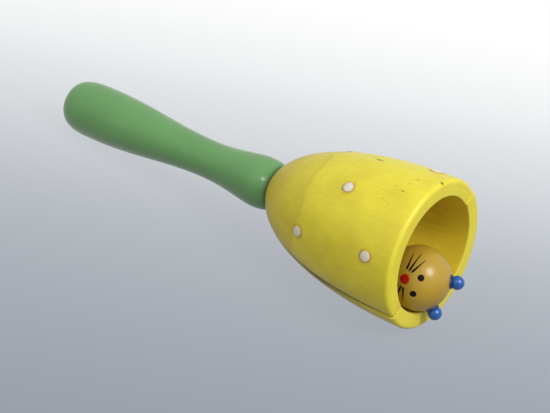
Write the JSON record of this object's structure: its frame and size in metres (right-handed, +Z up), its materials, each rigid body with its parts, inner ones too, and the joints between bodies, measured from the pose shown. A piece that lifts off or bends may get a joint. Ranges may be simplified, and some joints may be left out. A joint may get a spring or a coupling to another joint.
{
  "type": "hand bell",
  "caption": "Wooden hand bell with a turned handle, a round-domed body glued from two halves, pegs as dots, and a mouse's head as its clapper.",
  "frame": {"origin": "centre of the bottom of the bounding box, on the surface that the bell lies on", "axes": "+Z up; +X along the bell as it lies, from the handle's end to the mouth"},
  "size_m": [0.2662, 0.0838, 0.0851],
  "materials": {
    "handle_lacquer": "semi-gloss lacquer",
    "bell_lacquer": "semi-gloss lacquer",
    "peg_lacquer": "semi-gloss lacquer",
    "head_wood": "clear lacquer",
    "ear_lacquer": "gloss lacquer",
    "steel": "drawn wire",
    "brass": "stamped"
  },
  "bodies": {
    "bell": {"handle": "handle_lacquer", "bell_front_half": "bell_lacquer", "bell_back_half": "bell_lacquer", "dot_peg_1": "peg_lacquer", "dot_peg_2": "peg_lacquer", "dot_peg_3": "peg_lacquer", "dot_peg_4": "peg_lacquer", "dot_peg_5": "peg_lacquer", "dot_peg_6": "peg_lacquer", "dot_peg_7": "peg_lacquer", "dot_peg_8": "peg_lacquer", "dot_peg_9": "peg_lacquer", "dot_peg_10": "peg_lacquer", "crown_pin": "steel"},
    "swivel": {"crown_washer": "brass"},
    "wire": {"clapper_wire": "steel"},
    "head": {"chin_pin": "steel", "mouse_head": "head_wood", "ear_left": "ear_lacquer", "ear_right": "ear_lacquer"}
  },
  "joints": [
    {"name": "clapper_orbit", "type": "hinge", "parent": "bell", "child": "swivel", "pos_m": [0.03146, 0, 0.0337], "axis": [0.9926, 0, 0.1215], "continuous": true},
    {"name": "clapper_swing", "type": "hinge", "parent": "swivel", "child": "wire", "pos_m": [0.03146, 0, 0.0337], "axis": [-0.0211, -0.9848, 0.1724], "range_deg": [0, 21.4]},
    {"name": "head_spin", "type": "hinge", "parent": "wire", "child": "head", "pos_m": [0.09423, -0.00786, 0.03422], "axis": [0.9106, 0.2873, -0.2972], "continuous": true}
  ]
}
